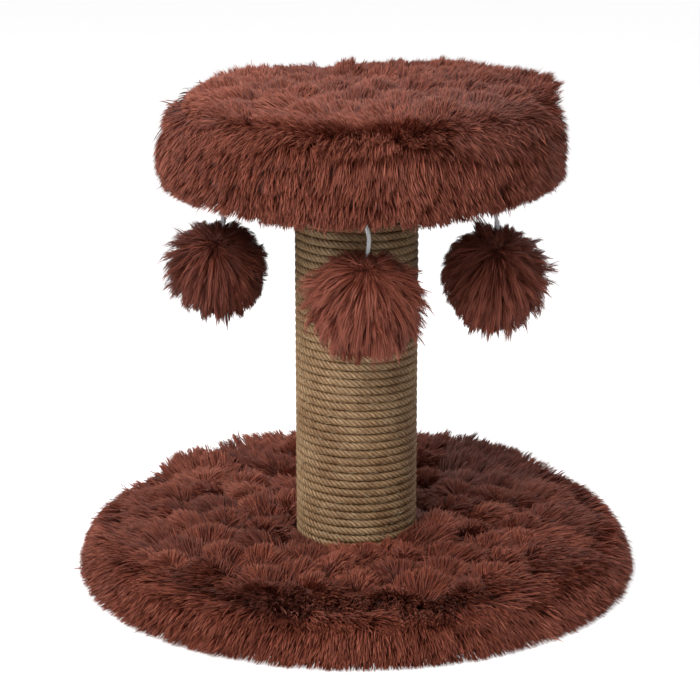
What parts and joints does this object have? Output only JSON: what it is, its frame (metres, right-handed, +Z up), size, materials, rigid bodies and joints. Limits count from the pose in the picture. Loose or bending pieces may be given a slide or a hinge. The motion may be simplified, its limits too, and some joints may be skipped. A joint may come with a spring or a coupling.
{
  "type": "cat scratching post",
  "caption": "Cat scratching post: round plush base, upright post wound with jute rope, round plush perch, and fur pompoms hanging on elastic cords under the perch.",
  "frame": {"origin": "on the floor at the post's axis, the centre of the underside", "axes": "+Z up along the post, -Y towards the front with the middle pompom, +X to the right"},
  "size_m": [0.366, 0.366, 0.3224],
  "materials": {
    "plush": "long-pile faux fur, chestnut brown",
    "pompom_fur": "long-pile faux fur, chestnut brown",
    "jute": "three-strand twisted natural-fibre rope",
    "elastic_cord": "white braided elastic",
    "tie_thread": "wound thread",
    "stuffing": "polyester fibre",
    "foam": "open-cell foam",
    "lining_felt": "non-woven felt",
    "board_wood": "particle board",
    "plug_wood": "pine",
    "kraft_tube": "wound kraft paper tube",
    "staple_steel": "galvanised wire",
    "screw_steel": "zinc plated"
  },
  "bodies": {
    "stand": {"base_lining": "lining_felt", "base_board": "board_wood", "base_plush_panel": "plush", "base_plush_band": "plush", "base_cover_staples": "staple_steel", "base_washer": "screw_steel", "base_bolt": "screw_steel", "post_tube": "kraft_tube", "post_bottom_plug": "plug_wood", "post_top_plug": "plug_wood", "post_plug_nails": "staple_steel", "post_bottom_tee_nut": "screw_steel", "post_top_tee_nut": "screw_steel", "post_jute_rope": "jute", "perch_lining": "lining_felt", "perch_board": "board_wood", "perch_foam_pad": "foam", "perch_plush_panel": "plush", "perch_plush_band": "plush", "perch_cover_staples": "staple_steel", "perch_tee_nut": "screw_steel", "perch_stud": "screw_steel", "pompom_hanger_staples": "staple_steel"},
    "left_pompom_loop_body": {"left_pompom_loop": "elastic_cord"},
    "left_pompom_cord_body": {"left_pompom_knot": "elastic_cord", "left_pompom_cord": "elastic_cord"},
    "left_pompom_tie_body": {"left_pompom_tie": "tie_thread"},
    "left_pompom_ball_body": {"left_pompom_stuffing": "stuffing", "left_pompom_fur": "pompom_fur"},
    "front_pompom_loop_body": {"front_pompom_loop": "elastic_cord"},
    "front_pompom_cord_body": {"front_pompom_knot": "elastic_cord", "front_pompom_cord": "elastic_cord"},
    "front_pompom_tie_body": {"front_pompom_tie": "tie_thread"},
    "front_pompom_ball_body": {"front_pompom_stuffing": "stuffing", "front_pompom_fur": "pompom_fur"},
    "right_pompom_loop_body": {"right_pompom_loop": "elastic_cord"},
    "right_pompom_cord_body": {"right_pompom_knot": "elastic_cord", "right_pompom_cord": "elastic_cord"},
    "right_pompom_tie_body": {"right_pompom_tie": "tie_thread"},
    "right_pompom_ball_body": {"right_pompom_stuffing": "stuffing", "right_pompom_fur": "pompom_fur"}
  },
  "joints": [
    {"name": "left_pompom_swing_out", "type": "hinge", "parent": "stand", "child": "left_pompom_loop_body", "pos_m": [-0.09, 0, 0.2573], "axis": [0, 1, 0], "range_deg": [-12, 35]},
    {"name": "left_pompom_swing_side", "type": "hinge", "parent": "left_pompom_loop_body", "child": "left_pompom_cord_body", "pos_m": [-0.09, 0, 0.25085], "axis": [-1, 0, 0], "range_deg": [-30, 30]},
    {"name": "left_pompom_stretch", "type": "slide", "parent": "left_pompom_cord_body", "child": "left_pompom_tie_body", "axis": [0, 0, -1], "range_m": [0, 0.012], "stiffness_N_per_m": 30, "springref_m": -0.012, "deforming": ["left_pompom_cord"]},
    {"name": "left_pompom_spin", "type": "hinge", "parent": "left_pompom_tie_body", "child": "left_pompom_ball_body", "pos_m": [-0.09, 0, 0.2163], "axis": [0, 0, 1], "continuous": true},
    {"name": "front_pompom_swing_out", "type": "hinge", "parent": "stand", "child": "front_pompom_loop_body", "pos_m": [0.00471, -0.08988, 0.2573], "axis": [-0.9986, -0.0523, 0], "range_deg": [-12, 35]},
    {"name": "front_pompom_swing_side", "type": "hinge", "parent": "front_pompom_loop_body", "child": "front_pompom_cord_body", "pos_m": [0.00471, -0.08988, 0.25085], "axis": [0.0523, -0.9986, 0], "range_deg": [-30, 30]},
    {"name": "front_pompom_stretch", "type": "slide", "parent": "front_pompom_cord_body", "child": "front_pompom_tie_body", "axis": [0, 0, -1], "range_m": [0, 0.012], "stiffness_N_per_m": 30, "springref_m": -0.012, "deforming": ["front_pompom_cord"]},
    {"name": "front_pompom_spin", "type": "hinge", "parent": "front_pompom_tie_body", "child": "front_pompom_ball_body", "pos_m": [0.00471, -0.08988, 0.2163], "axis": [0, 0, 1], "continuous": true},
    {"name": "right_pompom_swing_out", "type": "hinge", "parent": "stand", "child": "right_pompom_loop_body", "pos_m": [0.08733, -0.02177, 0.2573], "axis": [-0.2419, -0.9703, 0], "range_deg": [-12, 35]},
    {"name": "right_pompom_swing_side", "type": "hinge", "parent": "right_pompom_loop_body", "child": "right_pompom_cord_body", "pos_m": [0.08733, -0.02177, 0.25085], "axis": [0.9703, -0.2419, 0], "range_deg": [-30, 30]},
    {"name": "right_pompom_stretch", "type": "slide", "parent": "right_pompom_cord_body", "child": "right_pompom_tie_body", "axis": [0, 0, -1], "range_m": [0, 0.012], "stiffness_N_per_m": 30, "springref_m": -0.012, "deforming": ["right_pompom_cord"]},
    {"name": "right_pompom_spin", "type": "hinge", "parent": "right_pompom_tie_body", "child": "right_pompom_ball_body", "pos_m": [0.08733, -0.02177, 0.2163], "axis": [0, 0, 1], "continuous": true}
  ]
}
